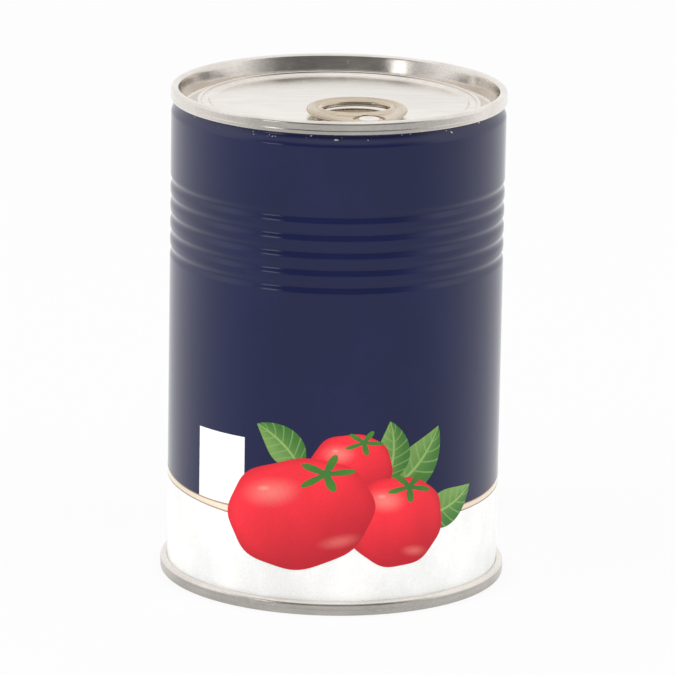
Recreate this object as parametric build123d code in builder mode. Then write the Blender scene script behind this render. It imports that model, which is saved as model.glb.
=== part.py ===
from build123d import *

import os
from math import cos, radians, sin

# A shut 400 g steel tin of tomatoes: a beaded, necked body, a ring-pull lid and a plain base.
#
# The tin stands on its base seam at z = 0, with its axis on Z and its printed front towards -Y.
# The body and its hidden contents are one solid. Both ends are double-seamed on to it, and the
# ring-pull is held by the rivet that is formed in the lid. All sizes are in millimetres.

# The whole tin
TIN_HEIGHT = 109.0
BODY_RADIUS = 36.6

# Double seams, alike at both ends except for how far they stand outside the wall that they hold
SEAM_HEIGHT = 3.1
SEAM_LAP = 0.8  # how far the body's wall reaches up inside the seam's skirt
SEAM_CORNER = 0.65  # rounding of the crown
SKIRT_CORNER = 0.45  # rounding of the skirt's free edge
TOP_SEAM_PROUD = 0.1  # the top seam beyond the body, after necking
TOP_SKIRT = 1.1  # radial thickness of the top seam outside the neck
BASE_SKIRT = 1.45  # radial thickness of the base seam outside the body
CHUCK_INSET = 0.5  # from the wall that is held to the inner edge of the crown

# Sheet ends inside their seams
CHUCK_TAPER = 0.9  # the chuck wall leans in by this much on its way down
COUNTERSINK_DEPTH = 4.8
COUNTERSINK_WIDTH = 2.6
COUNTERSINK_CORNER = 0.6
BODY_WALL = 0.6  # ring of the body around the plug of each end
END_METAL = 0.25  # metal left under the countersink
PANEL_WALL_LEAN = 0.5
PANEL_CORNER = 0.4
STEP_LEAN = 0.6

# Depths of the panels below their rims, and their steps as (inset from the panel's edge, step down)
LID_PANEL_DEPTH = 2.9
LID_STEP = 0.5
LID_STEP_INSET = 2.5
BASE_PANEL_DEPTH = 3.0
BASE_STEP = 0.45
BASE_STEP_INSETS = (3.0, 8.5)

# Neck and rolled beads of the body
NECK_HEIGHT = 2.6
BEAD_COUNT = 5
BEAD_PITCH = 3.85
BEAD_WIDTH = 2.5
BEAD_DEPTH = 0.4
FIRST_BEAD_BELOW_TOP = 20.8  # from the rim of the lid to the middle of the highest bead

# Ring-pull: its length runs along a radius of the lid, with the nose at the rim
TAB_TURN = 15.0  # degrees from the front of the tin, towards +X
NOSE_INSET = 0.8  # from the edge of the lid's panel to the tip of the nose
NOSE_REACH = 5.1  # from the rivet to the tip of the nose
NOSE_RADIUS = 6.0
RING_RADIUS = 10.9
RING_OFFSET = 10.2  # from the rivet to the middle of the ring
HOLE_LENGTH = 12.0
HOLE_WIDTH = 14.6
FINGER_BAR = 4.2  # the ring's bar where the finger pulls
TAB_THICKNESS = 1.5
TAB_EDGE = 0.65
HOLE_EDGE = 0.55
NOSE_CLEARANCE = 0.15  # between the nose and the raised rim of the panel

# Rivet, formed in the lid's panel
RIVET_RADIUS = 1.55
RIVET_CLEARANCE = 0.05
RIVET_HEAD_RADIUS = 2.3
RIVET_HEAD_HEIGHT = 0.4
RIVET_HEAD_EDGE = 0.25
BOSS_RADIUS = 3.2
BOSS_FLARE = 0.5
WEB_THICKNESS = 0.75
POCKET_RADIUS = 3.6

# Finger well in the panel, below the ring's hole
WELL_RADIUS = 7.0
WELL_DEPTH = 0.7
WELL_SHIFT = 1.3  # from the middle of the hole towards the tin's axis

# Sizes that follow from those above
TOP_SEAM_RADIUS = BODY_RADIUS + TOP_SEAM_PROUD
BASE_SEAM_RADIUS = BODY_RADIUS + BASE_SKIRT
NECK_RADIUS = TOP_SEAM_RADIUS - TOP_SKIRT
RIM_TO_PANEL = CHUCK_INSET + CHUCK_TAPER + COUNTERSINK_WIDTH + PANEL_WALL_LEAN
PLUG_DEPTH = COUNTERSINK_DEPTH + END_METAL
LAP_DEPTH = SEAM_HEIGHT - SEAM_LAP
PANEL_Z = TIN_HEIGHT - LID_PANEL_DEPTH - LID_STEP
TAB_LIFT = LID_STEP + NOSE_CLEARANCE
TAB_Z = PANEL_Z + TAB_LIFT

# Places along the ring-pull's line: from the tin's axis to the rivet, and back to the hole's middle
RIVET_DISTANCE = NECK_RADIUS - RIM_TO_PANEL - NOSE_INSET - NOSE_REACH
HOLE_OFFSET = RING_OFFSET + RING_RADIUS - FINGER_BAR - HOLE_LENGTH / 2
WELL_DISTANCE = RIVET_DISTANCE - HOLE_OFFSET - WELL_SHIFT

# Section planes: X is the radius, and Y runs out of the tin through the end
BODY_SECTION = Plane.XZ
LID_SECTION = Plane(origin=(0, 0, TIN_HEIGHT), x_dir=(1, 0, 0), z_dir=(0, -1, 0))
BASE_SECTION = Plane(origin=(0, 0, 0), x_dir=(1, 0, 0), z_dir=(0, 1, 0))

TAB_DIRECTION = (sin(radians(TAB_TURN)), -cos(radians(TAB_TURN)))


def on_tab_line(distance, z):
    """The point on the ring-pull's line at a distance from the tin's axis."""
    return (distance * TAB_DIRECTION[0], distance * TAB_DIRECTION[1], z)


RIVET_AXIS = Axis(on_tab_line(RIVET_DISTANCE, PANEL_Z), (0, 0, 1))
RIVET_SECTION = Plane(
    origin=on_tab_line(RIVET_DISTANCE, PANEL_Z),
    x_dir=(*TAB_DIRECTION, 0),
    z_dir=(TAB_DIRECTION[1], -TAB_DIRECTION[0], 0),
)


def tab_plane(z):
    """A level plane over the rivet, with X towards the nose."""
    return Plane(origin=on_tab_line(RIVET_DISTANCE, z), x_dir=(*TAB_DIRECTION, 0), z_dir=(0, 0, 1))


def end_corners(seam_radius, wall_radius, panel_depth, steps):
    """Corners (radius, height, rounding) of an end's half section, with its crown at height 0."""
    rim_radius = wall_radius - CHUCK_INSET
    chuck_foot = rim_radius - CHUCK_TAPER
    panel_foot = chuck_foot - COUNTERSINK_WIDTH
    panel_radius = wall_radius - RIM_TO_PANEL
    plug_radius = wall_radius - BODY_WALL
    corners = [
        (0, -PLUG_DEPTH, 0),
        (plug_radius, -PLUG_DEPTH, 0),
        (plug_radius, -LAP_DEPTH, 0),
        (wall_radius, -LAP_DEPTH, 0),
        (wall_radius, -SEAM_HEIGHT, 0),
        (seam_radius, -SEAM_HEIGHT, SKIRT_CORNER),
        (seam_radius, 0, SEAM_CORNER),
        (rim_radius, 0, SEAM_CORNER),
        (chuck_foot, -COUNTERSINK_DEPTH, COUNTERSINK_CORNER),
        (panel_foot, -COUNTERSINK_DEPTH, COUNTERSINK_CORNER),
        (panel_radius, -panel_depth, PANEL_CORNER),
    ]
    depth = panel_depth
    for inset, drop in steps:
        corners.append((panel_radius - inset, -depth, PANEL_CORNER))
        depth += drop
        corners.append((panel_radius - inset - STEP_LEAN, -depth, PANEL_CORNER))
    corners.append((0, -depth, 0))
    return corners


def rounded_section(corners):
    """A half section from corners given as (radius, height, rounding)."""
    with BuildSketch() as section:
        with BuildLine():
            FilletPolyline(
                *[(radius, height) for radius, height, _ in corners],
                radius=[rounding for _, _, rounding in corners],
                close=True,
            )
        make_face()
    return section.sketch


def draw_beads(top_z):
    """Adds the rolled grooves to the open line, from the highest one down, and returns the low end.

    Each groove is an arc between two half arcs that meet the straight wall without a kink.
    """
    quarter = BEAD_WIDTH / 4
    z = top_z
    for bead in range(BEAD_COUNT):
        middle = top_z - bead * BEAD_PITCH
        upper, lower = middle + BEAD_WIDTH / 2, middle - BEAD_WIDTH / 2
        if bead:
            Line((BODY_RADIUS, z), (BODY_RADIUS, upper))
        flank = BODY_RADIUS - BEAD_DEPTH / 2
        TangentArc((BODY_RADIUS, upper), (flank, upper - quarter), tangent=(0, -1))
        ThreePointArc((flank, upper - quarter), (BODY_RADIUS - BEAD_DEPTH, middle), (flank, lower + quarter))
        TangentArc((BODY_RADIUS, lower), (flank, lower + quarter), tangent=(0, 1))
        z = lower
    return z


def body_section():
    """The body's half section."""
    low_plug = BODY_RADIUS - BODY_WALL
    high_plug = NECK_RADIUS - BODY_WALL
    low_lap, high_lap = LAP_DEPTH, TIN_HEIGHT - LAP_DEPTH
    low_floor, high_floor = PLUG_DEPTH, TIN_HEIGHT - PLUG_DEPTH
    neck_top = TIN_HEIGHT - SEAM_HEIGHT
    neck_foot = neck_top - NECK_HEIGHT
    neck_middle = ((BODY_RADIUS + NECK_RADIUS) / 2, (neck_top + neck_foot) / 2)
    bead_top = TIN_HEIGHT - FIRST_BEAD_BELOW_TOP
    with BuildSketch() as section:
        with BuildLine():
            TangentArc((NECK_RADIUS, neck_top), neck_middle, tangent=(0, -1))
            TangentArc((BODY_RADIUS, neck_foot), neck_middle, tangent=(0, 1))
            Line((BODY_RADIUS, neck_foot), (BODY_RADIUS, bead_top + BEAD_WIDTH / 2))
            bead_foot = draw_beads(bead_top)
            Polyline(
                (BODY_RADIUS, bead_foot),
                (BODY_RADIUS, low_lap),
                (low_plug, low_lap),
                (low_plug, low_floor),
                (0, low_floor),
                (0, high_floor),
                (high_plug, high_floor),
                (high_plug, high_lap),
                (NECK_RADIUS, high_lap),
                (NECK_RADIUS, neck_top),
            )
        make_face()
    return section.sketch


def rivet_corners():
    """Corners of the rivet's half section, from inside the panel at height 0 to its head."""
    web_top = TAB_LIFT + WEB_THICKNESS
    head_top = web_top + RIVET_HEAD_HEIGHT
    return [
        (0, -END_METAL, 0),
        (BOSS_RADIUS + BOSS_FLARE, -END_METAL, 0),
        (BOSS_RADIUS + BOSS_FLARE, 0, 0),
        (BOSS_RADIUS, TAB_LIFT, 0),
        (RIVET_RADIUS, TAB_LIFT, 0),
        (RIVET_RADIUS, web_top, 0),
        (RIVET_HEAD_RADIUS, web_top, 0),
        (RIVET_HEAD_RADIUS, head_top, RIVET_HEAD_EDGE),
        (0, head_top, 0),
    ]


os.makedirs("parts", exist_ok=True)

# Body with its contents
body_profile = body_section()
with BuildPart() as body:
    with BuildSketch(BODY_SECTION):
        add(body_profile)
    revolve(axis=Axis.Z)
body.part.label = "can_body"

# Lid, with the finger well and the rivet
lid_profile = rounded_section(
    end_corners(TOP_SEAM_RADIUS, NECK_RADIUS, LID_PANEL_DEPTH, [(LID_STEP_INSET, LID_STEP)])
)
rivet_profile = rounded_section(rivet_corners())
well_ball = (WELL_RADIUS**2 + WELL_DEPTH**2) / (2 * WELL_DEPTH)
with BuildPart() as lid:
    with BuildSketch(LID_SECTION):
        add(lid_profile)
    revolve(axis=Axis.Z)
    with Locations(on_tab_line(WELL_DISTANCE, PANEL_Z - WELL_DEPTH + well_ball)):
        Sphere(well_ball, mode=Mode.SUBTRACT)
    with BuildSketch(RIVET_SECTION):
        add(rivet_profile)
    revolve(axis=RIVET_AXIS)
lid.part.label = "lid"

# Ring-pull
with BuildPart() as ring_pull:
    with BuildSketch(tab_plane(TAB_Z)):
        with Locations((-RING_OFFSET, 0)):
            Circle(RING_RADIUS)
        with Locations((NOSE_REACH - NOSE_RADIUS, 0)):
            Circle(NOSE_RADIUS)
        make_hull()
    extrude(amount=TAB_THICKNESS)
    fillet(ring_pull.edges(), TAB_EDGE)
    with BuildSketch(tab_plane(TAB_Z)):
        with Locations((-HOLE_OFFSET, 0)):
            Ellipse(HOLE_LENGTH / 2, HOLE_WIDTH / 2)
    extrude(amount=TAB_THICKNESS, mode=Mode.SUBTRACT)
    hole_edges = ring_pull.edges().filter_by(GeomType.ELLIPSE)
    fillet(hole_edges, HOLE_EDGE)
    with BuildSketch(tab_plane(TAB_Z + WEB_THICKNESS)):
        Circle(POCKET_RADIUS)
    extrude(amount=TAB_THICKNESS, mode=Mode.SUBTRACT)
    with BuildSketch(tab_plane(TAB_Z)):
        Circle(RIVET_RADIUS + RIVET_CLEARANCE)
    extrude(amount=TAB_THICKNESS, mode=Mode.SUBTRACT)
ring_pull.part.label = "ring_pull"

# Base
base_steps = [(inset, BASE_STEP) for inset in BASE_STEP_INSETS]
base_profile = rounded_section(
    end_corners(BASE_SEAM_RADIUS, BODY_RADIUS, BASE_PANEL_DEPTH, base_steps)
)
with BuildPart() as base:
    with BuildSketch(BASE_SECTION):
        add(base_profile)
    revolve(axis=Axis.Z)
base.part.label = "base"

for piece in (body, lid, ring_pull, base):
    export_step(piece.part, f"parts/{piece.part.label}.step")
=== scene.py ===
"""Looks of a shut ring-pull food tin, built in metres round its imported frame.

The tin stands on z = 0 with its axis on Z and its printed front towards -Y. Walls and ends are
turned from half sections by one lathe tree, which also rolls the beads. Each printed motif is drawn
flat, with X along the wall and Y up it, and wrapped on the tin as a thin film of ink by a second tree.
"""

from math import acos, cos, hypot, pi, radians, sin, tan

import bmesh
import bpy
import numpy as np
from bpy.props import FloatProperty, FloatVectorProperty, IntProperty, PointerProperty
from bpy.types import Operator, Panel, PropertyGroup
from mathutils import Matrix, Vector


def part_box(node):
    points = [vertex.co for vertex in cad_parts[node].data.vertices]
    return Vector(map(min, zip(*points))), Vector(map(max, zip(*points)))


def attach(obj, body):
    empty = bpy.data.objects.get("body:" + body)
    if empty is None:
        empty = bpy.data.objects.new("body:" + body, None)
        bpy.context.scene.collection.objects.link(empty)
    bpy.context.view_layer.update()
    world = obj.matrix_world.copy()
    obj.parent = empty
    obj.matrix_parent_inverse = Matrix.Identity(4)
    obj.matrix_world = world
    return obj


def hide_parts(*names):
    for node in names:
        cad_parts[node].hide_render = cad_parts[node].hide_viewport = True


bl_info = {
    "name": "Food tin looks",
    "version": (1, 0, 0),
    "blender": (4, 5, 0),
    "location": "View3D > Sidebar > Food Tin",
    "description": "Builds the printed wall, ends, ring-pull and studio of a ring-pull food tin",
    "category": "Object",
}

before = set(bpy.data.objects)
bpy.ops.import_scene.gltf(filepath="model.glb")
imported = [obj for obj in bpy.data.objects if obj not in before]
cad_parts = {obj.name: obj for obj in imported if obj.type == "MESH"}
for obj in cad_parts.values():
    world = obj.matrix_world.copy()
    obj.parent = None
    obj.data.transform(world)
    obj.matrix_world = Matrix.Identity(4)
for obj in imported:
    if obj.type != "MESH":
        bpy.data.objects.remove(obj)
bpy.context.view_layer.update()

MM = 0.001
TIN_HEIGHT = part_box("lid")[1].z
TOP_SEAM_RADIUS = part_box("lid")[1].x
BODY_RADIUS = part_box("can_body")[1].x
BASE_SEAM_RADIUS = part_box("base")[1].x
TAB_LOW, TAB_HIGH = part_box("ring_pull")

RELIEF = 0.02 * MM  # height of a bump map's unit
INK_GLOSS = 0.2
SCORE_HALF, SCORE_DEPTH = 0.12 * MM, 0.09 * MM
STEP_RUN, STEP_CORNER = 0.6 * MM, 0.45 * MM  # a pressed step's lean inwards and its roundings
BASE_STEPS = (3.0 * MM, 8.5 * MM)  # insets of the base's rings from its panel's edge
LID_STEP = 2.5 * MM
EDGE_WAVES = ((0.7, 2, 2.6), (0.4, 3, -0.5))  # share of the white field's wave, waves round the tin, start


def length(name, description, millimetres):
    """A size in metres with its default given in millimetres."""
    return FloatProperty(
        name=name, description=description, default=millimetres * MM, precision=5,
        subtype="DISTANCE", unit="LENGTH",
    )


def turn(name, description, degrees_):
    """An angle with its default given in degrees."""
    return FloatProperty(
        name=name, description=description, default=radians(degrees_), subtype="ANGLE", unit="ROTATION"
    )


def colour(name, description, red, green, blue):
    """A colour with its default given as 8-bit display values, kept as linear light."""
    linear = [((value / 255 + 0.055) / 1.055) ** 2.4 for value in (red, green, blue)]
    return FloatVectorProperty(
        name=name, description=description, default=linear, size=3, min=0, max=1, subtype="COLOR"
    )


class FOODTIN_PG_shape(PropertyGroup):
    """Sizes of the wall, its beads, the seams and the pressed ends."""

    seam_height: length("Seam height", "Height of each double seam", 3.1)
    seam_corner: length("Seam corner", "Rounding of the seam's crown", 0.65)
    skirt_corner: length("Skirt corner", "Rounding of the seam's free edge", 0.9)
    top_skirt: length("Top skirt", "Thickness of the top seam outside the neck", 1.1)
    base_skirt: length("Base skirt", "Thickness of the base seam outside the wall", 1.45)
    roll_line: length("Roll line", "Depth of the seaming roll's line round each seam", 0.07)
    chuck_inset: length("Chuck inset", "From the wall to the inner edge of the crown", 0.5)
    chuck_taper: length("Chuck taper", "How far the chuck wall leans in", 0.9)
    countersink_depth: length("Countersink depth", "Below the rim", 4.8)
    countersink_width: length("Countersink width", "Across the groove's floor", 2.6)
    panel_lean: length("Panel wall lean", "How far the panel's wall leans in", 0.5)
    lid_panel_depth: length("Lid panel depth", "From the rim to the panel's raised edge", 2.9)
    base_panel_depth: length("Base panel depth", "From the rim to the panel's raised edge", 3.0)
    neck_height: length("Neck height", "Height of the S-curve under the top seam", 2.6)
    bead_count: IntProperty(name="Beads", description="Grooves rolled round the wall", default=5, min=0)
    bead_pitch: length("Bead pitch", "From one groove to the next", 3.85)
    bead_width: length("Bead width", "Across each groove", 2.9)
    bead_depth: length("Bead depth", "Depth of each groove", 0.4)
    first_bead: length("First bead", "From the rim to the middle of the highest groove", 20.8)
    score_radius: length("Score radius", "Radius of the cut line the lid tears along", 30.1)
    well_radius: length("Finger well radius", "Radius of the hollow under the ring", 7.0)
    well_depth: length("Finger well depth", "Depth of the hollow under the ring", 0.7)
    well_shift: length("Finger well shift", "From the middle of the hole, away from the rivet", 1.3)
    lid_step: length("Lid step", "How far the lid's middle is sunk", 0.5)
    base_step: length("Base step", "How far each ring of the base is sunk", 0.45)
    end_floor: length("End floor", "From the rim to the hidden back of each end", 5.05)


class FOODTIN_PG_tab(PropertyGroup):
    """Sizes of the ring-pull and its rivet."""

    turn: turn("Turn", "From the front of the tin, towards +X", 15.0)
    rivet_distance: length("Rivet distance", "From the tin's axis", 25.2)
    nose_reach: length("Nose reach", "From the rivet to the tip", 5.1)
    nose_radius: length("Nose radius", "Outline at the nose", 6.0)
    ring_radius: length("Ring radius", "Outline round the finger hole", 10.9)
    ring_offset: length("Ring offset", "From the rivet to the middle of the ring", 10.2)
    hole_offset: length("Hole offset", "From the rivet to the middle of the hole", 10.9)
    hole_length: length("Hole length", "Along the tab", 12.0)
    hole_width: length("Hole width", "Across the tab", 14.6)
    web: length("Web height", "From the underside to the flat web", 0.95)
    pocket_radius: length("Pocket radius", "Round the rivet", 3.6)
    pocket_height: length("Pocket height", "From the underside to the pocket's floor", 0.75)
    rivet_radius: length("Rivet head radius", "Radius of the formed head", 2.3)
    rivet_height: length("Rivet head height", "Above the pocket's floor", 0.4)


class FOODTIN_PG_print(PropertyGroup):
    """Places and sizes of the print."""

    field_height: length("White field height", "Middle of the wavy edge of the white field", 21.5)
    field_wave: length("White field wave", "How far the edge rises and falls", 1.5)
    panel_turn: turn("Plain panel turn", "Middle of the plain panel, from the front", -42.0)
    panel_width: length("Plain panel width", "Along the wall", 13.4)
    panel_top: length("Plain panel top", "Above the floor", 38.0)
    weld_margin: length("Weld margin", "Half the unprinted strip at the side weld", 1.4)
    ink: length("Ink thickness", "Thickness of each printed film", 0.012)


class FOODTIN_PG_colours(PropertyGroup):
    """Inks and metals."""

    navy: colour("Dark blue", "Upper field", 20, 26, 67)
    white: colour("White", "Lower field and plain panel", 250, 251, 249)
    tomato: colour("Tomato red", "Lit side of the tomatoes", 250, 44, 60)
    tomato_shade: colour("Tomato shade", "Shaded side of the tomatoes", 188, 22, 40)
    tomato_light: colour("Tomato light", "Glints on the tomatoes", 255, 150, 138)
    leaf: colour("Leaf green", "Blades of the leaves", 62, 118, 48)
    leaf_vein: colour("Leaf vein", "Veins of the leaves", 150, 186, 104)
    stem: colour("Stem green", "Stars on the tomatoes", 74, 128, 40)
    sweep: colour("Cream", "Band along the edge of the white field", 236, 222, 200)
    sweep_edge: colour("Tan", "Edges of the cream band", 150, 112, 88)
    tinplate: colour("Tinplate", "Lid, base and weld", 233, 227, 220)
    tab_metal: colour("Tab metal", "Ring-pull", 208, 194, 174)


class FOODTIN_PG_stage(PropertyGroup):
    """Camera and studio."""

    distance: FloatProperty(name="Distance", description="Camera from the axis", default=1.226, unit="LENGTH")
    height: FloatProperty(name="Height", description="Camera above the floor", default=0.3688, unit="LENGTH")
    pitch: turn("Pitch", "Camera looks down by this much", 14.465)
    roll: turn("Roll", "Camera's turn about its own line of sight", 0.988)
    pan: turn("Pan", "Camera's turn to the left", -0.025)
    focal: FloatProperty(name="Focal length", description="In millimetres", default=306.3)
    key_power: FloatProperty(name="Key power", description="Power of the key softbox", default=4.0)


# Small helpers for node trees


class Value:
    """A number in a node tree. Python's own signs add the maths nodes."""

    def __init__(self, source):
        self.socket = source

    def __add__(self, other):
        return maths("ADD", self, other)

    def __sub__(self, other):
        return maths("SUBTRACT", self, other)

    def __rsub__(self, other):
        return maths("SUBTRACT", other, self)

    def __mul__(self, other):
        return maths("MULTIPLY", self, other)

    def __truediv__(self, other):
        return maths("DIVIDE", self, other)

    def __gt__(self, other):
        return maths("GREATER_THAN", self, other)

    def __lt__(self, other):
        return maths("LESS_THAN", self, other)

    def __abs__(self):
        return maths("ABSOLUTE", self)


def socket(sockets, name):
    """The socket of that name that the node's present settings use."""
    return next(s for s in sockets if s.name == name and s.enabled)


def connect(value, target):
    """Links a Value or a socket to an input, or sets a plain value there."""
    if isinstance(value, Value):
        value = value.socket
    if isinstance(value, bpy.types.NodeSocket):
        target.id_data.links.new(value, target)
    else:
        target.default_value = value


def add(tree, kind, inputs=None, **settings):
    """A node with its settings, and with a value or a link for each named input."""
    node = tree.nodes.new(kind)
    for name, value in settings.items():
        setattr(node, name, value)
    for key, value in (inputs or {}).items():
        connect(value, node.inputs[key] if isinstance(key, int) else socket(node.inputs, key))
    return node


def maths(operation, *values):
    """One maths node on Values and plain numbers."""
    tree = next(value.socket.id_data for value in values if isinstance(value, Value))
    return Value(add(tree, "ShaderNodeMath", dict(enumerate(values)), operation=operation).outputs[0])


def diagonal(first, second):
    """Length of a pair of Values."""
    return maths("SQRT", first * first + second * second)


def ramp(value, low, high, start=0.0, end=1.0):
    """A smooth step from start to end as value goes from low to high."""
    inputs = {"Value": value, "From Min": low, "From Max": high, "To Min": start, "To Max": end}
    tree = value.socket.id_data
    return Value(add(tree, "ShaderNodeMapRange", inputs, interpolation_type="SMOOTHSTEP").outputs["Result"])


def mix_number(factor, first, second):
    """From the first number to the second as the factor goes from 0 to 1."""
    inputs = {0: factor, 2: first, 3: second}
    return Value(add(factor.socket.id_data, "ShaderNodeMix", inputs, data_type="FLOAT").outputs[0])


def mix_colour(factor, first, second):
    """From the first colour to the second as the factor goes from 0 to 1."""
    inputs = {0: factor, 6: first, 7: second}
    return add(factor.socket.id_data, "ShaderNodeMix", inputs, data_type="RGBA").outputs[2]


def opaque(rgb):
    """A colour with full alpha."""
    return (*rgb, 1.0)


def coordinates(tree, vector):
    """A vector's X, Y and Z."""
    return [Value(part) for part in add(tree, "ShaderNodeSeparateXYZ", {0: vector}).outputs]


def object_place(tree):
    """Object coordinates."""
    return add(tree, "ShaderNodeTexCoord").outputs["Object"]


def noise(tree, vector, scale, stretch=(1, 1, 1), detail=2.0):
    """Noise on object coordinates, in features per metre, stretched by axis."""
    place = add(tree, "ShaderNodeMapping", {"Vector": vector, "Scale": stretch}).outputs[0]
    inputs = {"Vector": place, "Scale": scale, "Detail": detail}
    return Value(add(tree, "ShaderNodeTexNoise", inputs).outputs[0])


# Shader groups


def new_group(name, numbers):
    """An empty group that takes a colour and numbers, and gives a colour, a roughness and a height."""
    tree = bpy.data.node_groups.new(name, "ShaderNodeTree")
    tree.interface.new_socket("Colour", in_out="INPUT", socket_type="NodeSocketColor")
    for label, default in numbers.items():
        number = tree.interface.new_socket(label, in_out="INPUT", socket_type="NodeSocketFloat")
        number.default_value = default
    for label, kind in (("Colour", "Color"), ("Roughness", "Float"), ("Height", "Float")):
        tree.interface.new_socket(label, in_out="OUTPUT", socket_type=f"NodeSocket{kind}")
    return tree, tree.nodes.new("NodeGroupInput").outputs


def finish_group(tree, colour_, tone, roughness, height):
    """Ends a group: its colour scaled by a tone, its roughness and its height."""
    varied = add(tree, "ShaderNodeVectorMath", {0: colour_}, operation="SCALE")
    connect(tone, varied.inputs["Scale"])
    out = tree.nodes.new("NodeGroupOutput").inputs
    connect(varied.outputs[0], out["Colour"])
    connect(roughness, out["Roughness"])
    connect(height, out["Height"])
    return tree


def placed_group(tree, group, values):
    """One placed copy of a shader group."""
    node = tree.nodes.new("ShaderNodeGroup")
    node.node_tree = group
    for name, value in values.items():
        connect(value, node.inputs[name])
    return node.outputs


def varnish_group():
    """The flow of a varnished print: uneven gloss, slight mottling and a fine waviness."""
    name = "tin_varnish"
    if name in bpy.data.node_groups:
        return bpy.data.node_groups[name]
    tree, given = new_group(name, {"Gloss": 0.2})
    place = object_place(tree)
    cloud = noise(tree, place, 60, (1, 1, 0.6), 4.0)
    grain = noise(tree, place, 2600)
    streak = noise(tree, place, 220, (1, 1, 0.12), 3.0)
    tone = ramp(cloud, 0.3, 0.75, 0.9, 1.12) * ramp(grain, 0.2, 0.8, 0.95, 1.05)
    rough = Value(given["Gloss"]) + ramp(streak, 0.25, 0.8, -0.03, 0.06)
    return finish_group(tree, given["Colour"], tone, rough, cloud * 3.0 + grain * 0.25)


def tinplate_group():
    """Rolled tinplate: long grain lines, cloudy lacquer, fine scratches and small rubs."""
    name = "tin_tinplate"
    if name in bpy.data.node_groups:
        return bpy.data.node_groups[name]
    tree, given = new_group(name, {"Roughness": 0.2, "Grain": 1.0})
    place = object_place(tree)
    grain = noise(tree, place, 2400, (0.03, 1, 1), 3.0)
    cloud = noise(tree, place, 90, (1, 1, 1), 3.0)
    scratch = ramp(noise(tree, place, 900, (1, 0.06, 1)), 0.68, 0.76)
    tone = ramp(grain, 0.3, 0.7, -0.05, 0.05) + ramp(cloud, 0.3, 0.7, 0.9, 1.04)
    rough = Value(given["Roughness"]) + ramp(cloud, 0.3, 0.75, -0.04, 0.08) + scratch * 0.12
    height = grain * Value(given["Grain"]) * 0.5 - scratch * 0.6 + cloud
    return finish_group(tree, given["Colour"], tone, rough, height)


# Materials


def new_material(name):
    """An empty material: its tree and its Principled shader."""
    material = bpy.data.materials.new(name)
    material.use_nodes = True
    return material, material.node_tree, material.node_tree.nodes["Principled BSDF"]


def finish_material(shader, colour_, roughness, height):
    """Feeds a colour, a roughness and a relief in units of RELIEF to a shader."""
    relief = {"Height": height, "Distance": RELIEF, "Strength": 1.0}
    connect(colour_, shader.inputs["Base Color"])
    connect(roughness, shader.inputs["Roughness"])
    connect(add(shader.id_data, "ShaderNodeBump", relief).outputs[0], shader.inputs["Normal"])


def gloss_coat(shader):
    """The clear varnish over a print."""
    shader.inputs["Specular IOR Level"].default_value = 0.0
    shader.inputs["Coat Weight"].default_value = 1.0
    shader.inputs["Coat IOR"].default_value = 1.52
    shader.inputs["Coat Roughness"].default_value = 0.13


def tinplate_material(name, tint, roughness, grain=1.0):
    """Bare tinplate."""
    material, tree, shader = new_material(name)
    values = {"Colour": opaque(tint), "Roughness": roughness, "Grain": grain}
    plate = placed_group(tree, tinplate_group(), values)
    shader.inputs["Metallic"].default_value = 1.0
    finish_material(shader, plate["Colour"], plate["Roughness"], plate["Height"])
    return material


def field_edge(sizes, angle):
    """Height of the white field's edge at an angle, which closes on itself round the tin."""
    wave = sum(share * cos(times * angle + start) for share, times, start in EDGE_WAVES)
    return sizes.field_height + sizes.field_wave * wave


def wall_material(sizes, inks):
    """The printed wall: a dark blue field over a white one, with a bare strip at the side weld."""
    material, tree, shader = new_material("printed_wall")
    place = object_place(tree)
    x, y, z = coordinates(tree, place)
    angle = maths("ARCTAN2", x, y * -1.0)
    slow, fast = (maths("COSINE", maths("MULTIPLY_ADD", angle, float(times), start)) * share
                  for share, times, start in EDGE_WAVES)
    edge = maths("MULTIPLY_ADD", slow + fast, sizes.field_wave, sizes.field_height)
    in_width = abs(angle - sizes.panel_turn) < sizes.panel_width / 2 / BODY_RADIUS
    white = maths("MAXIMUM", z < edge, in_width * (z < sizes.panel_top))
    field = mix_colour(white, opaque(inks.navy), opaque(inks.white))
    ink = placed_group(tree, varnish_group(), {"Colour": field, "Gloss": INK_GLOSS})
    tin = {"Colour": opaque(inks.tinplate), "Roughness": 0.3}
    plate = placed_group(tree, tinplate_group(), tin)
    neck = TIN_HEIGHT - bpy.context.scene.foodtin_shape.seam_height
    weld = (y > 0.0) * (abs(x) < sizes.weld_margin)
    chips = (noise(tree, place, 1300, detail=1.0) > 0.71) * (z > neck - 1.0 * MM)
    bare = maths("MAXIMUM", weld, chips)
    connect(bare, shader.inputs["Metallic"])
    ridge = ramp(abs(x), 0.45 * MM, 0.75 * MM, 5.0, 0.0) * weld
    wrinkle = noise(tree, place, 420, (1, 1, 0.45))
    pinch = wrinkle * ramp(z, neck - 5 * MM, neck - 1 * MM, 0.0, 5.0)
    skin = mix_colour(bare, ink["Colour"], plate["Colour"])
    rough = Value(ink["Roughness"]) + bare * 0.1
    finish_material(shader, skin, rough, Value(ink["Height"]) + (ridge + pinch))
    gloss_coat(shader)
    return material


def film_material(name, paint):
    """A varnished ink whose colour paint() draws from the film's own UV map."""
    material, tree, shader = new_material(name)
    u, v, _ = coordinates(tree, add(tree, "ShaderNodeUVMap", uv_map="UVMap").outputs[0])
    ink = placed_group(tree, varnish_group(), {"Colour": paint(u, v), "Gloss": INK_GLOSS})
    finish_material(shader, ink["Colour"], ink["Roughness"], ink["Height"])
    gloss_coat(shader)
    return material


def spot(u, v, centre, size, strength):
    """A soft oval, at full strength at its middle and 0 at its edge."""
    away = diagonal((u - centre[0]) / size[0], (v - centre[1]) / size[1])
    return ramp(away, 0.0, 1.0, strength, 0.0)


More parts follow.
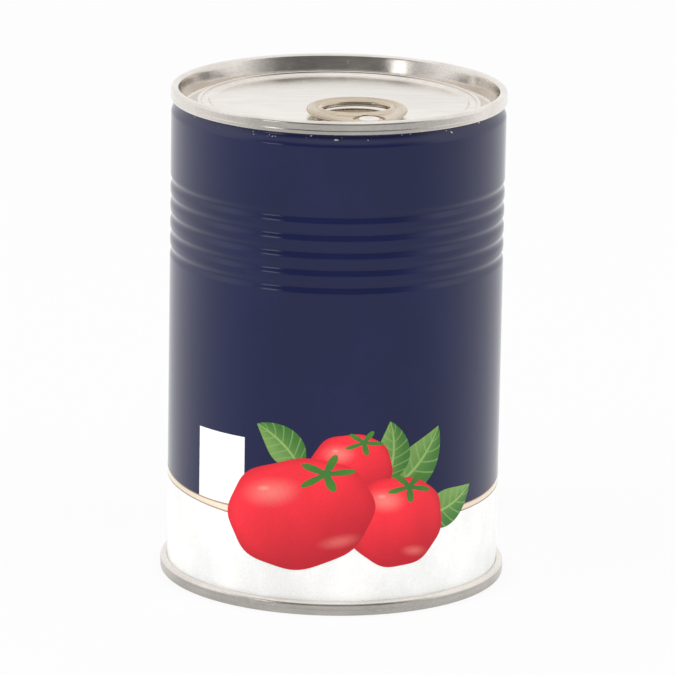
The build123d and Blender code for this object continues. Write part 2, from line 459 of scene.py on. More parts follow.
def tomato_material(inks):
    """Red skin that darkens towards the lower right, with glints and a faint darker rim."""
    lit_red, shade = opaque(inks.tomato), opaque(inks.tomato_shade)

    def paint(u, v):
        body = mix_colour(ramp(u * 0.35 + v * -0.75, -0.45, 0.95), lit_red, shade)
        body = mix_colour(ramp(diagonal(u, v), 0.8, 1.02, 0.0, 0.55), body, shade)
        wide = spot(u, v, (-0.3, 0.42), (0.5, 0.32), 0.6)
        sharp = spot(u, v, (-0.38, 0.5), (0.2, 0.1), 0.95)
        bounce = spot(u, v, (0.45, -0.62), (0.35, 0.16), 0.35)
        glints = maths("MAXIMUM", wide, maths("MAXIMUM", sharp, bounce))
        return mix_colour(glints, body, opaque(inks.tomato_light))

    return film_material("printed_tomato", paint)


def leaf_material(inks):
    """A green blade with a midrib and slanting side veins; U runs along the leaf and V across it."""
    blade, vein = opaque(inks.leaf), opaque(inks.leaf_vein)

    def paint(u, v):
        side = abs(v)
        tone = mix_colour(ramp(v, -1.0, 1.0, 0.0, 0.55), blade, vein)
        midrib = ramp(side, 0.03, 0.1, 0.9, 0.0)
        comb = maths("FRACT", (u - side * 0.16) * 7.0)
        side_veins = ramp(abs(comb - 0.5), 0.0, 0.14, 0.55, 0.0)
        return mix_colour(maths("MAXIMUM", midrib, side_veins), tone, vein)

    return film_material("printed_leaf", paint)


def stem_material(inks):
    """Green sepals, lighter towards their tips."""

    def paint(u, v):
        return mix_colour(ramp(diagonal(u, v), 0.2, 1.0), opaque(inks.leaf), opaque(inks.stem))

    return film_material("printed_stem", paint)


def sweep_material(inks):
    """A cream band with tan edges; V runs across it."""

    def paint(u, v):
        return mix_colour(ramp(abs(v), 0.45, 0.95), opaque(inks.sweep), opaque(inks.sweep_edge))

    return film_material("printed_sweep", paint)


# Geometry trees


def new_tree(name, inputs):
    """An empty geometry tree with its sockets; returns it with its inputs by name."""
    tree = bpy.data.node_groups.new(name, "GeometryNodeTree")
    for label, kind in {"Geometry": "Geometry", **inputs, "Material": "Material"}.items():
        tree.interface.new_socket(label, in_out="INPUT", socket_type=f"NodeSocket{kind}")
    tree.interface.new_socket("Geometry", in_out="OUTPUT", socket_type="NodeSocketGeometry")
    given = tree.nodes.new("NodeGroupInput").outputs
    return tree, {given_socket.name: Value(given_socket) for given_socket in given}


def finish_tree(tree, mesh, tolerance, material):
    """Ends a tree: doubles merged, smooth, realized and with its material."""
    closed = add(tree, "GeometryNodeMergeByDistance", {"Geometry": mesh, "Distance": tolerance}).outputs[0]
    smooth = add(tree, "GeometryNodeSetShadeSmooth", {"Geometry": closed}).outputs[0]
    realized = add(tree, "GeometryNodeRealizeInstances", {"Geometry": smooth}).outputs[0]
    finished = add(tree, "GeometryNodeSetMaterial", {"Geometry": realized, "Material": material})
    connect(finished.outputs[0], tree.nodes.new("NodeGroupOutput").inputs[0])
    return tree


def move_round(tree, mesh, radius, angle, height):
    """Puts a mesh's points at a radius, an angle from the front and a height."""
    x = radius * maths("SINE", angle)
    y = radius * maths("COSINE", angle) * -1.0
    place = add(tree, "ShaderNodeCombineXYZ", {0: x, 1: y, 2: height}).outputs[0]
    return add(tree, "GeometryNodeSetPosition", {"Geometry": mesh, "Position": place}).outputs[0]


def lathe_tree():
    """Turns a half section, a line of points (radius, 0, height), about Z and rolls beads into it."""
    name = "tin_lathe"
    if name in bpy.data.node_groups:
        return bpy.data.node_groups[name]
    tree, given = new_tree(name, {
        "Segments": "Int", "Bead Count": "Int", "First Bead": "Float", "Bead Pitch": "Float",
        "Bead Width": "Float", "Bead Depth": "Float", "Wall Radius": "Float",
    })
    size = add(tree, "GeometryNodeAttributeDomainSize", {"Geometry": given["Geometry"]})
    count = Value(size.outputs["Point Count"])
    span = count - 1.0
    extent = {"Size X": 1.0, "Size Y": span, "Vertices X": given["Segments"] + 1.0, "Vertices Y": count}
    grid = add(tree, "GeometryNodeMeshGrid", extent).outputs[0]
    position = add(tree, "GeometryNodeInputPosition").outputs[0]
    across, along, _ = coordinates(tree, position)
    row = maths("MULTIPLY_ADD", span, 0.5, along)
    index = add(tree, "FunctionNodeFloatToInt", {0: row}, rounding_mode="ROUND").outputs[0]
    line = {"Geometry": given["Geometry"], "Value": position, "Index": index}
    sample = add(tree, "GeometryNodeSampleIndex", line, data_type="FLOAT_VECTOR")
    radius, _, height = coordinates(tree, socket(sample.outputs, "Value"))
    drop = given["First Bead"] - height
    nearest = maths("ROUND", drop / given["Bead Pitch"])
    number = maths("MAXIMUM", maths("MINIMUM", nearest, given["Bead Count"] - 1.0), 0.0)
    off = abs(drop - number * given["Bead Pitch"])
    share = maths("MINIMUM", off / (given["Bead Width"] * 0.5), 1.0)
    groove = maths("MULTIPLY_ADD", maths("COSINE", share * pi), 0.5, 0.5)
    on_wall = maths("COMPARE", radius, given["Wall Radius"], 0.1 * MM)
    rolled = groove * given["Bead Depth"] * on_wall * (given["Bead Count"] > 0.5)
    angle = (across + 0.5) * (2 * pi)
    turned_mesh = move_round(tree, grid, radius - rolled, angle, height)
    return finish_tree(tree, turned_mesh, 0.002 * MM, given["Material"])


def wrap_tree():
    """Wraps flat art, X along the wall and Y up it, on a tin of that radius and gives it thickness."""
    name = "tin_print"
    if name in bpy.data.node_groups:
        return bpy.data.node_groups[name]
    tree, given = new_tree(name, {"Radius": "Float", "Thickness": "Float"})
    x, y, z = coordinates(tree, add(tree, "GeometryNodeInputPosition").outputs[0])
    wrapped = move_round(tree, given["Geometry"], given["Radius"] + z, x / given["Radius"], y)
    film = {"Mesh": wrapped, "Offset Scale": given["Thickness"], "Individual": False}
    front = add(tree, "GeometryNodeExtrudeMesh", film, mode="FACES").outputs[0]
    back = add(tree, "GeometryNodeFlipFaces", {"Mesh": wrapped}).outputs[0]
    both = add(tree, "GeometryNodeJoinGeometry")
    connect(front, both.inputs[0])
    connect(back, both.inputs[0])
    return finish_tree(tree, both.outputs[0], 0.001 * MM, given["Material"])


# Meshes


def new_piece(name, points, edges=(), faces=()):
    """A linked mesh object at the origin."""
    mesh = bpy.data.meshes.new(name)
    mesh.from_pydata([tuple(p) for p in points], edges, faces)
    piece = bpy.data.objects.new(name, mesh)
    bpy.context.scene.collection.objects.link(piece)
    return piece


def bake_tree(piece, tree, values):
    """Runs a geometry tree on a piece and keeps the result as its plain mesh."""
    modifier = piece.modifiers.new(tree.name, "NODES")
    modifier.node_group = tree
    for item in tree.interface.items_tree:
        if item.item_type == "SOCKET" and item.in_out == "INPUT" and item.name in values:
            modifier[item.identifier] = values[item.name]
    bake(piece)


def bake(piece):
    """Turns a piece's modifiers into its plain mesh."""
    graph = bpy.context.evaluated_depsgraph_get()
    solved = piece.evaluated_get(graph)
    mesh = bpy.data.meshes.new_from_object(solved, preserve_all_data_layers=True, depsgraph=graph)
    mesh.name = piece.name
    piece.modifiers.clear()
    piece.data = mesh


def face_outwards(piece):
    """Merges doubles and turns every face of a closed piece outwards."""
    work = bmesh.new()
    work.from_mesh(piece.data)
    bmesh.ops.remove_doubles(work, verts=work.verts, dist=1e-7)
    bmesh.ops.recalc_face_normals(work, faces=work.faces)
    work.to_mesh(piece.data)
    work.free()


def sharpen(piece, angle):
    """Smooth shading that breaks at edges sharper than an angle."""
    piece.data.polygons.foreach_set("use_smooth", [True] * len(piece.data.polygons))
    piece.data.set_sharp_from_angle(angle=angle)


def hand_over(piece, node=None):
    """Gives a finished piece to the frame, in place of a CAD node if one is named."""
    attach(piece, "root")
    if node:
        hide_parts(node)


def rounded_line(corners, step=1.2 * MM, arc_steps=7):
    """Points along (radius, height, rounding) corners, with arcs at them and no stretch longer than step."""
    points = []
    corners = [(Vector((r, z)), rounding) for r, z, rounding in corners]
    for i, (corner, rounding) in enumerate(corners):
        if rounding == 0 or i in (0, len(corners) - 1):
            points.append(corner)
            continue
        before = (corners[i - 1][0] - corner).normalized()
        after = (corners[i + 1][0] - corner).normalized()
        half = acos(max(-1.0, min(1.0, before.dot(after)))) / 2
        if half > radians(89.5):
            points.append(corner)
            continue
        middle = corner + (before + after).normalized() * rounding / sin(half)
        start = corner + before * rounding / tan(half) - middle
        sweep = pi - 2 * half
        sign = 1 if start.x * before.y - start.y * before.x < 0 else -1
        for k in range(arc_steps + 1):
            points.append(middle + Matrix.Rotation(sign * sweep * k / arc_steps, 2) @ start)
    line = [points[0]]
    for point in points[1:]:
        stretch = (point - line[-1]).length
        parts = max(1, int(np.ceil(stretch / step)))
        first = line[-1]
        line += [first.lerp(point, k / parts) for k in range(1, parts + 1)]
    return [(p.x, 0.0, p.y) for p in line]


def turned(name, line, material, segments=288, beads=None):
    """A closed piece turned from a half section."""
    piece = new_piece(name, line, [(i, i + 1) for i in range(len(line) - 1)])
    plain = {"Bead Count": 0, "Bead Pitch": 1.0, "Bead Width": 1.0}
    values = {"Segments": segments, "Wall Radius": BODY_RADIUS, "Material": material}
    bake_tree(piece, lathe_tree(), {**values, **(beads or plain)})
    face_outwards(piece)
    return piece


def panel_radius(shape, wall_radius):
    """Radius of an end's raised panel edge."""
    return wall_radius - shape.chuck_inset - shape.chuck_taper - shape.countersink_width - shape.panel_lean


def pressed_step(inset, drop):
    """Corners of a step down in a panel: how far inside its edge, how far down and its rounding."""
    return [(inset, 0, STEP_CORNER), (inset + STEP_RUN, drop, STEP_CORNER)]


def end_corners(shape, seam_radius, wall_radius, panel_depth, grooves):
    """Corners of an end's half section, with its crown at height 0 and the panel's steps from grooves."""
    inside = wall_radius - 0.7 * MM
    rim = wall_radius - shape.chuck_inset
    foot = rim - shape.chuck_taper
    panel_foot = foot - shape.countersink_width
    panel = panel_radius(shape, wall_radius)
    corners = [
        (0, -shape.end_floor, 0),
        (inside, -shape.end_floor, 0),
        (inside, -shape.seam_height + 0.5 * MM, 0),
        (wall_radius + 0.02 * MM, -shape.seam_height + 0.25 * MM, 0.05 * MM),
        (wall_radius + 0.06 * MM, -shape.seam_height, 0.1 * MM),
        (seam_radius, -shape.seam_height, shape.skirt_corner),
        (seam_radius, -1.95 * MM, 0),
        (seam_radius - shape.roll_line, -1.78 * MM, 0),
        (seam_radius, -1.5 * MM, 0),
        (seam_radius, 0, shape.seam_corner),
        (rim, 0, shape.seam_corner),
        (foot, -shape.countersink_depth, 0.7 * MM),
        (panel_foot, -shape.countersink_depth, 0.7 * MM),
        (panel, -panel_depth, 0.45 * MM),
    ]
    for inset, drop, rounding in grooves:
        panel_depth += drop
        corners.append((panel - inset, -panel_depth, rounding))
    return corners + [(0, -panel_depth, 0)]


class FOODTIN_OT_wall(Operator):
    """Builds the printed wall with its neck and rolled beads"""

    bl_idname = "foodtin.wall"
    bl_label = "Printed Wall"

    def execute(self, context):
        shape = context.scene.foodtin_shape
        neck_radius = TOP_SEAM_RADIUS - shape.top_skirt
        neck_top = TIN_HEIGHT - shape.seam_height
        neck_foot = neck_top - shape.neck_height
        floor, lap, tuck = 5.2 * MM, 2.4 * MM, 0.5 * MM  # caps and laps that the ends hide
        corners = [(0, floor, 0), (BODY_RADIUS - tuck, floor, 0), (BODY_RADIUS - tuck, lap, 0),
                   (BODY_RADIUS, lap, 0.02 * MM), (BODY_RADIUS, neck_foot, 0)]
        for k in range(1, 15):
            share = k / 15
            corners.append((BODY_RADIUS + (neck_radius - BODY_RADIUS) * (1 - cos(pi * share)) / 2,
                            neck_foot + shape.neck_height * share, 0))
        corners += [(neck_radius, neck_top, 0), (neck_radius, TIN_HEIGHT - lap, 0.02 * MM),
                    (neck_radius - tuck, TIN_HEIGHT - lap, 0), (neck_radius - tuck, TIN_HEIGHT - floor, 0),
                    (0, TIN_HEIGHT - floor, 0)]
        line = rounded_line(corners, step=0.36 * MM)
        line = [p for i, p in enumerate(line) if p[0] > BODY_RADIUS * 0.95 or i in (0, len(line) - 1)]
        beads = {
            "Bead Count": shape.bead_count, "First Bead": TIN_HEIGHT - shape.first_bead,
            "Bead Pitch": shape.bead_pitch, "Bead Width": shape.bead_width, "Bead Depth": shape.bead_depth,
        }
        material = wall_material(context.scene.foodtin_print, context.scene.foodtin_colours)
        piece = turned("wall", line, material, beads=beads)
        sharpen(piece, radians(50))
        hand_over(piece, "can_body")
        return {"FINISHED"}


class FOODTIN_OT_lid(Operator):
    """Builds the lid with its seam, score line, finger well and rivet"""

    bl_idname = "foodtin.lid"
    bl_label = "Lid and Rivet"

    def execute(self, context):
        shape, tab = context.scene.foodtin_shape, context.scene.foodtin_tab
        neck_radius = TOP_SEAM_RADIUS - shape.top_skirt
        score = panel_radius(shape, neck_radius) - shape.score_radius
        cut = [(score - SCORE_HALF, 0, 0), (score, SCORE_DEPTH, 0), (score + SCORE_HALF, -SCORE_DEPTH, 0)]
        grooves = cut + pressed_step(LID_STEP, shape.lid_step)
        corners = end_corners(shape, TOP_SEAM_RADIUS, neck_radius, shape.lid_panel_depth, grooves)
        line = [(r, 0.0, z + TIN_HEIGHT) for r, _, z in rounded_line(corners, step=0.8 * MM)]
        tin = tinplate_material("lid_tinplate", context.scene.foodtin_colours.tinplate, 0.16, 0.6)
        lid = turned("lid_shell", line, tin)
        self.press_well(lid.data, shape, tab)
        sharpen(lid, radians(60))
        hand_over(lid, "lid")
        rivet = turned("rivet", self.rivet_line(tab), tin, 64)
        place = tab_point(tab, 0)
        rivet.data.transform(Matrix.Translation((place[0], place[1], TAB_LOW.z)))
        sharpen(rivet, radians(60))
        hand_over(rivet)
        return {"FINISHED"}

    def press_well(self, mesh, shape, tab):
        """Sinks the panel's surface in a shallow dish under the finger hole."""
        middle = tab_point(tab, -tab.hole_offset - shape.well_shift)
        floor = TIN_HEIGHT - 4.5 * MM
        for vertex in mesh.vertices:
            away = hypot(vertex.co.x - middle[0], vertex.co.y - middle[1]) / shape.well_radius
            if away < 1 and vertex.co.z > floor:
                vertex.co.z -= shape.well_depth * (1 - away**2) ** 1.5

    def rivet_line(self, tab):
        """Half section of the boss, shank and domed head, with the tab's underside at height 0."""
        top = tab.pocket_height + tab.rivet_height
        return rounded_line([
            (0, -1.0 * MM, 0), (3.9 * MM, -1.0 * MM, 0), (3.9 * MM, -0.66 * MM, 0.1 * MM),
            (3.1 * MM, 0.0, 0.3 * MM), (1.55 * MM, 0.0, 0), (1.55 * MM, tab.pocket_height, 0),
            (tab.rivet_radius, tab.pocket_height, 0.1 * MM), (tab.rivet_radius, top, 0.24 * MM),
            (1.2 * MM, top, 0.3 * MM), (0.8 * MM, top - 0.16 * MM, 0.2 * MM), (0, top - 0.16 * MM, 0),
        ], step=0.4 * MM)


def tab_point(tab, along, across=0.0):
    """Place on the lid of a point given along the tab from its rivet, towards the nose, and across it."""
    ahead, side = (sin(tab.turn), -cos(tab.turn)), (cos(tab.turn), sin(tab.turn))
    reach = tab.rivet_distance + along
    return reach * ahead[0] + across * side[0], reach * ahead[1] + across * side[1]


def outline_distance(tab, x, y):
    """Distance inside the tab's outline, the hull of its ring and nose circles."""
    apart = tab.ring_offset - (tab.nose_radius - tab.nose_reach)
    slope = (tab.ring_radius - tab.nose_radius) / apart
    lean = np.sqrt(1 - slope**2)
    along, side = x + tab.ring_offset, np.abs(y)
    ring = np.hypot(along, side) - tab.ring_radius
    nose = np.hypot(along - apart, side) - tab.nose_radius
    flank = along * slope + side * lean - tab.ring_radius
    position = along * lean - side * slope
    return -np.where(position < 0, ring, np.where(position > apart * lean, nose, flank))


def hole_distance(tab, x, y):
    """Distance outside the finger hole's ellipse, exact at its edge."""
    a, b = tab.hole_length / 2, tab.hole_width / 2
    u, v = (x + tab.hole_offset) / a, y / b
    k = np.hypot(u, v)
    return k * (k - 1) / np.maximum(np.hypot(u / a, v / b), 1e-9)


class FOODTIN_OT_ring_pull(Operator):
    """Builds the ring-pull with curled edges, rivet pocket and lance cut"""

    bl_idname = "foodtin.ring_pull"
    bl_label = "Ring-Pull"

    def execute(self, context):
        tab = context.scene.foodtin_tab
        thickness = TAB_HIGH.z - TAB_LOW.z
        curl = thickness / 2
        directions = np.radians(np.arange(0, 360, 0.75))
        inner = self.reach(lambda x, y: -hole_distance(tab, x, y), tab, directions)
        outer = self.reach(lambda x, y: outline_distance(tab, x, y), tab, directions)
        edge = curl * (1 - np.cos(np.radians(np.linspace(0, 90, 9))))
        edge = np.concatenate([edge, curl * np.array([1.2, 1.4, 1.6, 1.8, 2.0, 2.2])])
        loops = [outer - d for d in edge]
        loops += [outer - edge[-1] + (inner - outer + 2 * edge[-1]) * k / 14 for k in range(1, 14)]
        loops += [inner + d for d in edge[::-1]]
        points, rows = [], []
        for face in (1, -1):
            chosen = loops if face == 1 else loops[1:-1][::-1]
            for radii in chosen:
                x = radii * np.cos(directions) - tab.hole_offset
                y = radii * np.sin(directions)
                height = self.surface(tab, x, y, curl, face)
                rows.append(range(len(points), len(points) + len(x)))
                points += [(*tab_point(tab, a, b), TAB_LOW.z + c) for a, b, c in zip(x, y, height)]
        faces = []
        for first, second in zip(rows, rows[1:] + rows[:1]):
            size = len(first)
            for i in range(size):
                after = (i + 1) % size
                faces.append((first[i], first[after], second[after], second[i]))
        piece = new_piece("ring_pull_shell", points, (), faces)
        face_outwards(piece)
        material = tinplate_material("tab_tinplate", context.scene.foodtin_colours.tab_metal, 0.2, 0.5)
        piece.data.materials.append(material)
        for cutter in (self.pocket(tab), self.lance(tab)):
            modifier = piece.modifiers.new("cut", "BOOLEAN")
            modifier.operation, modifier.object, modifier.solver = "DIFFERENCE", cutter, "EXACT"
            bake(piece)
            bpy.data.objects.remove(cutter)
        sharpen(piece, radians(35))
        hand_over(piece, "ring_pull")
        return {"FINISHED"}

    def reach(self, inside, tab, directions):
        """How far from the hole's middle each direction stays inside an outline."""
        low, high = np.full(len(directions), 0.2 * MM), np.full(len(directions), 40 * MM)
        for _ in range(40):
            middle = (low + high) / 2
            within = inside(middle * np.cos(directions) - tab.hole_offset, middle * np.sin(directions)) > 0
            low, high = np.where(within, middle, low), np.where(within, high, middle)
        return low

    def surface(self, tab, x, y, curl, face):
        """Height of the tab's upper or lower face: round curls at both edges and a flat web between."""
        out = np.clip(outline_distance(tab, x, y), 0, None)
        hole = np.clip(hole_distance(tab, x, y), 0, None)
        near = np.minimum(out, hole)
        round_ = np.sqrt(np.clip(curl**2 - (curl - np.minimum(near, 2 * curl)) ** 2, 0, None))
        web = (tab.web - curl) if face == 1 else curl - 0.3 * MM
        blend = np.clip((near - curl) / (1.1 * curl), 0, 1)
        blend = blend * blend * (3 - 2 * blend)
        return curl + face * np.where(near < curl, round_, curl + (web - curl) * blend)

    def cutter(self, tab, rim, bottom, caps):
        """A closed prism over the tab, from a rim of points and the faces that close it."""
        size = len(rim)
        points = [(*tab_point(tab, a, b), TAB_LOW.z + z) for z in (bottom, 3 * MM) for a, b in rim]
        faces = [(k, (k + 1) % size, size + (k + 1) % size, size + k) for k in range(size)]
        faces += [cap[::-1] for cap in caps]
        faces += [tuple(size + k for k in cap) for cap in caps]
        piece = new_piece("cutter", points, (), faces)
        face_outwards(piece)
        return piece

    def pocket(self, tab):
        """The recess round the rivet."""
        steps, radius = 96, tab.pocket_radius
        rim = [(radius * cos(2 * pi * k / steps), radius * sin(2 * pi * k / steps)) for k in range(steps)]
        return self.cutter(tab, rim, tab.pocket_height, [tuple(range(steps))])

    def lance(self, tab):
        """The C-shaped cut behind the rivet that lets the tab lever up."""
        steps, radius, half = 48, tab.pocket_radius - 0.45 * MM, 0.16 * MM
        angles = [radians(70 + 220 * k / steps) for k in range(steps + 1)]
        rim = [((radius + half) * cos(a), (radius + half) * sin(a)) for a in angles]
        rim += [((radius - half) * cos(a), (radius - half) * sin(a)) for a in angles[::-1]]
        last = len(rim) - 1
        return self.cutter(tab, rim, 0.1 * MM, [(k, k + 1, last - 1 - k, last - k) for k in range(steps)])


class FOODTIN_OT_base(Operator):
    """Builds the base with its seam and expansion rings"""

    bl_idname = "foodtin.base"
    bl_label = "Base"

    def execute(self, context):
        shape = context.scene.foodtin_shape
        grooves = [corner for inset in BASE_STEPS for corner in pressed_step(inset, shape.base_step)]
        corners = end_corners(shape, BASE_SEAM_RADIUS, BODY_RADIUS, shape.base_panel_depth, grooves)
        line = [(r, 0.0, -z) for r, _, z in rounded_line(corners, step=0.9 * MM)]
        tin = tinplate_material("base_tinplate", context.scene.foodtin_colours.tinplate, 0.22)
        piece = turned("base_shell", line, tin)
        sharpen(piece, radians(60))
        hand_over(piece, "base")
        return {"FINISHED"}


# Flat art: points along the wall, up it and out of it, faces, and each point's own UV


def blob(centre, size, tilt, outline, layer, steps=96, rings=10):
    """A filled outline: radius by angle, scaled, tilted and placed; its UVs run from -1 to 1."""
    points, uvs = [(0.0, 0.0)], [(0.0, 0.0)]
    for ring in range(1, rings + 1):
        for k in range(steps):
            a = 2 * pi * k / steps
            r = outline(a) * ring / rings
            uvs.append((r * cos(a), r * sin(a)))
            points.append((size[0] * r * cos(a), size[1] * r * sin(a)))
    faces = [(0, 1 + k, 1 + (k + 1) % steps) for k in range(steps)]
    for ring in range(rings - 1):
        low, high = 1 + ring * steps, 1 + (ring + 1) * steps
        faces += [(low + k, high + k, high + (k + 1) % steps, low + (k + 1) % steps) for k in range(steps)]
    placed = []
    for x, y in points:
        along, up = x * cos(tilt) - y * sin(tilt), x * sin(tilt) + y * cos(tilt)
        placed.append((centre[0] + along, centre[1] + up, layer))
    return placed, faces, uvs


def ribbon(spine, width, layer, steps, across=6):
    """A strip along a spine of (x, y), with its half width by share; U runs along and V across."""
    points, uvs, faces = [], [], []
    for i in range(steps + 1):
        t = i / steps
        x, y = spine(t)
        ahead, behind = spine(min(t + 1e-3, 1)), spine(max(t - 1e-3, 0))
        along = Vector((ahead[0] - behind[0], ahead[1] - behind[1])).normalized()
        for j in range(across + 1):
            v = 2 * j / across - 1
            points.append((x - along.y * v * width(t), y + along.x * v * width(t), layer))
            uvs.append((t, v))
    row = across + 1
    for i in range(steps):
        for corner in range(i * row, i * row + across):
            faces.append((corner, corner + row, corner + row + 1, corner + 1))
    return points, faces, uvs


def print_film(name, parts, material, ink):
    """One piece of printed film from flat parts."""
    points, faces, uvs = [], [], []
    for part_points, part_faces, part_uvs in parts:
        start = len(points)
        points += part_points
        uvs += part_uvs
        faces += [tuple(start + i for i in face) for face in part_faces]
    piece = new_piece(name, points, (), faces)
    layer = piece.data.uv_layers.new(name="UVMap")
    for loop in piece.data.loops:
        layer.data[loop.index].uv = uvs[loop.vertex_index]
    bake_tree(piece, wrap_tree(), {"Radius": BODY_RADIUS, "Thickness": ink, "Material": material})
    sharpen(piece, radians(40))
    hand_over(piece)
    return piece


TOMATOES = (  # middle along the wall and above the floor, half sizes in mm, tilt in degrees, layer
    ((-7.5, 22.5), (17.0, 12.6), 12, 3),
    ((14.5, 20.5), (11.5, 10.4), -8, 2),
    ((4.0, 32.5), (9.2, 8.4), 0, 1),
)
LEAVES = (  # foot along the wall and above the floor, length, half width in mm, direction in degrees, layer
    ((13.0, 28.0), 17.0, 4.6, 38, 1),
    ((12.0, 30.0), 13.0, 3.9, 78, 2),
    ((-7.0, 32.5), 13.5, 4.0, 128, 2),
    ((20.5, 21.0), 15.0, 4.2, 8, 1),
)


class FOODTIN_OT_print(Operator):
    """Prints the tomatoes, their stems, the leaves and the cream band on the wall"""

    bl_idname = "foodtin.print"
    bl_label = "Printed Motifs"

    def execute(self, context):
        sizes, inks = context.scene.foodtin_print, context.scene.foodtin_colours
        layer = sizes.ink * 1.3
        skins, stems, blades = [], [], []
        for centre, size, tilt, level in TOMATOES:
            middle = (centre[0] * MM, centre[1] * MM)
            half = (size[0] * MM, size[1] * MM)
            skins.append(blob(middle, half, radians(tilt), self.skin, (2 + level) * layer))
            top = (middle[0] + half[0] * 0.45 * sin(radians(tilt + 40)), middle[1] + half[1] * 0.72)
            reach = (half[1] * 0.52, half[1] * 0.34)
            stems.append(blob(top, reach, radians(tilt), self.star, (2 + level) * layer + layer, 120, 6))
        for foot, long, wide, direction, level in LEAVES:
            blades.append(self.leaf(foot, long, wide, radians(direction), level * layer))
        print_film("print_tomatoes", skins, tomato_material(inks), sizes.ink)
        print_film("print_stems", stems, stem_material(inks), sizes.ink)
        print_film("print_leaves", blades, leaf_material(inks), sizes.ink)
        steps = int(2 * pi * BODY_RADIUS / MM)
        gap = sizes.weld_margin / BODY_RADIUS

        def spine(t):
            angle = (2 * t - 1) * (pi - gap)
            return angle * BODY_RADIUS, field_edge(sizes, angle)

        def width(t):
            return (0.75 + 0.85 * sin(pi * t * 3) ** 2) * MM

        band = ribbon(spine, width, 0.3 * layer, steps)
        print_film("print_band", [band], sweep_material(inks), sizes.ink)
        return {"FINISHED"}

    def skin(self, angle):
        """Outline of a plump tomato, slightly squared and dimpled at its top."""
        dimple = 0.05 * max(0.0, cos(angle - pi / 2)) ** 16
        return 0.97 + 0.035 * cos(4 * angle + 0.6) ** 2 - dimple

    def star(self, angle):
        """Outline of five narrow sepals."""
        return 0.22 + 0.78 * abs(cos(2.5 * angle + 0.4)) ** 3

    def leaf(self, foot, long, wide, direction, layer):
        """A pointed leaf, bent a little, from its foot."""

        def spine(t):
            bend = direction + 0.35 * (t - 0.5)
            return (foot[0] + long * t * cos(bend)) * MM, (foot[1] + long * t * sin(bend)) * MM

        return ribbon(spine, lambda t: wide * MM * max(0.01, sin(pi * t**0.8)) ** 0.85, layer, 40, 10)


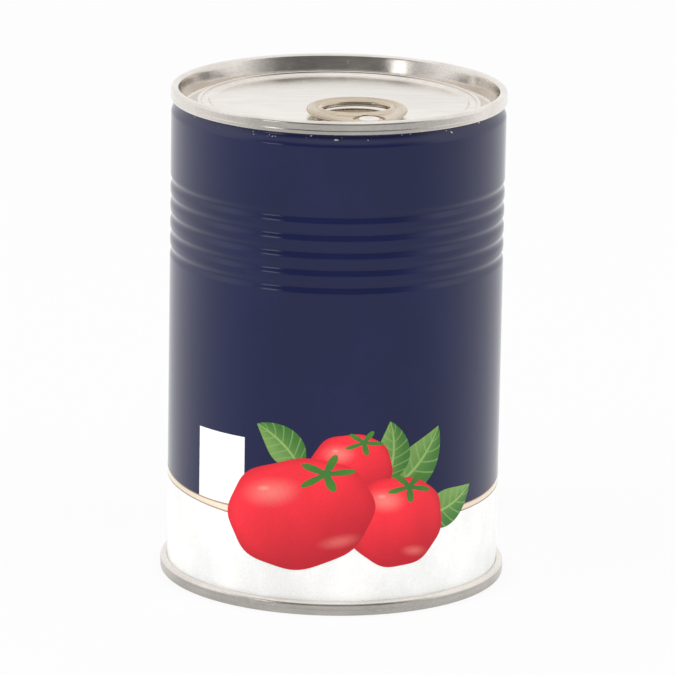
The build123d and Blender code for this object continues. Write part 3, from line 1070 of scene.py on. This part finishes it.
class FOODTIN_OT_stage(Operator):
    """Sets up the floor, the soft studio light and the camera"""

    bl_idname = "foodtin.stage"
    bl_label = "Studio and Camera"

    def execute(self, context):
        stage = context.scene.foodtin_stage
        self.camera(context, stage)
        self.floor()
        self.world(context)
        self.softbox("key_light", (-0.95, -0.6, 0.65), (0.5, 0.7), stage.key_power, False)
        self.softbox("fill_light", (1.05, -0.45, 0.65), (0.6, 0.6), stage.key_power * 0.8, False)
        self.softbox("rim_light", (-0.95, -0.95, 0.3), (0.3, 0.3), stage.key_power * 0.12, True)
        context.scene.view_settings.view_transform = "Standard"
        return {"FINISHED"}

    def camera(self, context, stage):
        """A long lens, looking slightly down at the front."""
        data = bpy.data.cameras.new("camera")
        data.sensor_width, data.lens, data.clip_end = 36, stage.focal, 50
        camera = bpy.data.objects.new("camera", data)
        context.scene.collection.objects.link(camera)
        place = Matrix.Translation((0, -stage.distance, stage.height))
        aim = Matrix.Rotation(stage.pan, 4, "Z") @ Matrix.Rotation(pi / 2 - stage.pitch, 4, "X")
        camera.matrix_world = place @ aim @ Matrix.Rotation(stage.roll, 4, "Z")
        context.scene.camera = camera

    def floor(self):
        """A pale floor that shows as white and keeps a faint shadow; it is greyer in front in reflections."""
        size = 6.0
        corners = [(-size, -size, 0), (size, -size, 0), (size, size, 0), (-size, size, 0)]
        floor = new_piece("floor", corners, (), [(0, 1, 2, 3)])
        material, tree, shader = new_material("floor_white")
        place = object_place(tree)
        path = add(tree, "ShaderNodeLightPath").outputs
        camera, glossy = Value(path["Is Camera Ray"]), Value(path["Is Glossy Ray"])
        paper = mix_colour(noise(tree, place, 300), (0.86, 0.86, 0.86, 1), (0.9, 0.9, 0.9, 1))
        connect(paper, shader.inputs["Base Color"])
        shader.inputs["Roughness"].default_value = 0.9
        shader.inputs["Specular IOR Level"].default_value = 0.0
        glow = ramp(self.frontness(tree, place), -0.7, 0.75, 1.0, 0.5)
        level = mix_number(camera, glow, 1.0)
        white = add(tree, "ShaderNodeEmission", {"Color": (1, 1, 1, 1), "Strength": level}).outputs[0]
        seen = maths("MAXIMUM", camera * 0.88, glossy)
        both = add(tree, "ShaderNodeMixShader", {0: seen, 1: shader.outputs[0], 2: white}).outputs[0]
        below = add(tree, "ShaderNodeNewGeometry").outputs["Backfacing"]
        clear = add(tree, "ShaderNodeBsdfTransparent").outputs[0]
        one_sided = add(tree, "ShaderNodeMixShader", {0: below, 1: both, 2: clear}).outputs[0]
        connect(one_sided, tree.nodes["Material Output"].inputs["Surface"])
        floor.data.materials.append(material)

    def frontness(self, tree, direction):
        """Cosine of a direction's turn from the front, -Y."""
        x, y, _ = coordinates(tree, direction)
        return y / maths("MAXIMUM", diagonal(x, y), 1e-4) * -1.0

    def world(self, context):
        """White to the camera, dim at the front to reflections, and a plain level to everything else."""
        world = bpy.data.worlds.new("studio")
        world.use_nodes = True
        context.scene.world = world
        tree = world.node_tree
        back = tree.nodes["Background"]
        path = add(tree, "ShaderNodeLightPath").outputs
        direction = add(tree, "ShaderNodeTexCoord").outputs["Generated"]
        rise = coordinates(tree, direction)[2]
        dim = ramp(self.frontness(tree, direction), 0.1, 0.8, 0.0, 0.85) * ramp(rise, 0.45, 0.9, 1.0, 0.0)
        plain = mix_number(Value(path["Is Glossy Ray"]), 0.86, 1.0 - dim)
        clear = maths("MAXIMUM", Value(path["Is Camera Ray"]), Value(path["Is Transmission Ray"]))
        back.inputs["Color"].default_value = (1, 1, 1, 1)
        connect(mix_number(clear, plain, 1.0), back.inputs["Strength"])

    def softbox(self, name, place, size, power, mirrored):
        """A rectangular lamp aimed at the middle of the tin, which gloss shows or not."""
        data = bpy.data.lights.new(name, "AREA")
        data.shape, data.size, data.size_y, data.energy = "RECTANGLE", size[0], size[1], power
        lamp = bpy.data.objects.new(name, data)
        bpy.context.scene.collection.objects.link(lamp)
        lamp.visible_glossy = mirrored
        towards = Vector((0, 0, TIN_HEIGHT * 0.6)) - Vector(place)
        lamp.location = place
        lamp.rotation_euler = towards.to_track_quat("-Z", "Y").to_euler()


STEPS = (
    FOODTIN_OT_wall, FOODTIN_OT_lid, FOODTIN_OT_ring_pull, FOODTIN_OT_base, FOODTIN_OT_print,
    FOODTIN_OT_stage,
)


class FOODTIN_PT_panel(Panel):
    """Lists the tin's pieces in the sidebar."""

    bl_idname = "FOODTIN_PT_panel"
    bl_label = "Food Tin"
    bl_space_type = "VIEW_3D"
    bl_region_type = "UI"
    bl_category = "Food Tin"

    def draw(self, context):
        for step in STEPS:
            self.layout.operator(step.bl_idname)
        for name in SETTINGS:
            group = getattr(context.scene, name)
            for key in group.__annotations__:
                self.layout.prop(group, key)


SETTINGS = {
    "foodtin_shape": FOODTIN_PG_shape,
    "foodtin_tab": FOODTIN_PG_tab,
    "foodtin_print": FOODTIN_PG_print,
    "foodtin_colours": FOODTIN_PG_colours,
    "foodtin_stage": FOODTIN_PG_stage,
}
CLASSES = (*SETTINGS.values(), *STEPS, FOODTIN_PT_panel)


def register():
    for cls in CLASSES:
        bpy.utils.register_class(cls)
    for name, group in SETTINGS.items():
        setattr(bpy.types.Scene, name, PointerProperty(type=group))


def unregister():
    for name in SETTINGS:
        delattr(bpy.types.Scene, name)
    for cls in reversed(CLASSES):
        bpy.utils.unregister_class(cls)


def main():
    register()
    bpy.ops.foodtin.wall()
    bpy.ops.foodtin.lid()
    bpy.ops.foodtin.ring_pull()
    bpy.ops.foodtin.base()
    bpy.ops.foodtin.print()
    bpy.ops.foodtin.stage()


if __name__ == "__main__":
    main()
